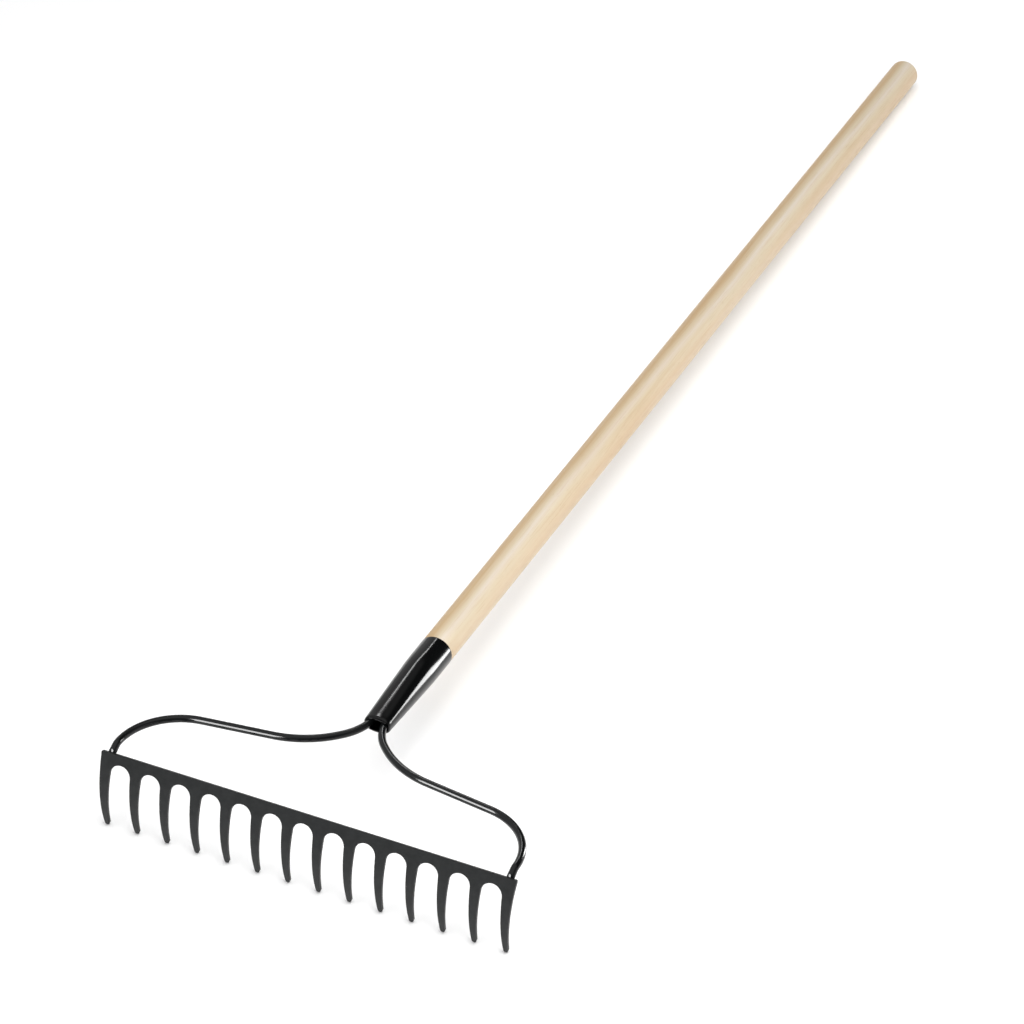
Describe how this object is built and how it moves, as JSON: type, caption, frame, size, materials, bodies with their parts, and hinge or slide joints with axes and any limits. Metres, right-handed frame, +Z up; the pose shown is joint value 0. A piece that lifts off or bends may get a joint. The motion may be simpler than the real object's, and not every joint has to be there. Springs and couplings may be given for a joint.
{
  "type": "bow rake",
  "caption": "Long-handled garden rake with a wooden shaft, a steel ferrule, a bow of two bent rods and a straight bar of curved tines.",
  "frame": {"origin": "on the ground under the middle of the rake's bounding box, with the rake lying on its tine tips and its butt", "axes": "+X along the tine bar, +Y from the tines towards the butt of the handle, +Z up; the handle's axis leans down by 2.4 degrees towards the butt"},
  "size_m": [0.355, 1.3347, 0.0751],
  "materials": {
    "wood": "satin lacquer",
    "gloss_black": "gloss",
    "charcoal_paint": "semi-matte",
    "nail_steel": "satin"
  },
  "bodies": {
    "root": {"handle": "wood", "ferrule": "gloss_black", "bow_rod_left": "gloss_black", "bow_rod_right": "gloss_black", "tine_bar": "charcoal_paint", "bar_weld_left": "charcoal_paint", "bar_weld_right": "charcoal_paint", "ferrule_nail": "nail_steel"}
  },
  "joints": []
}
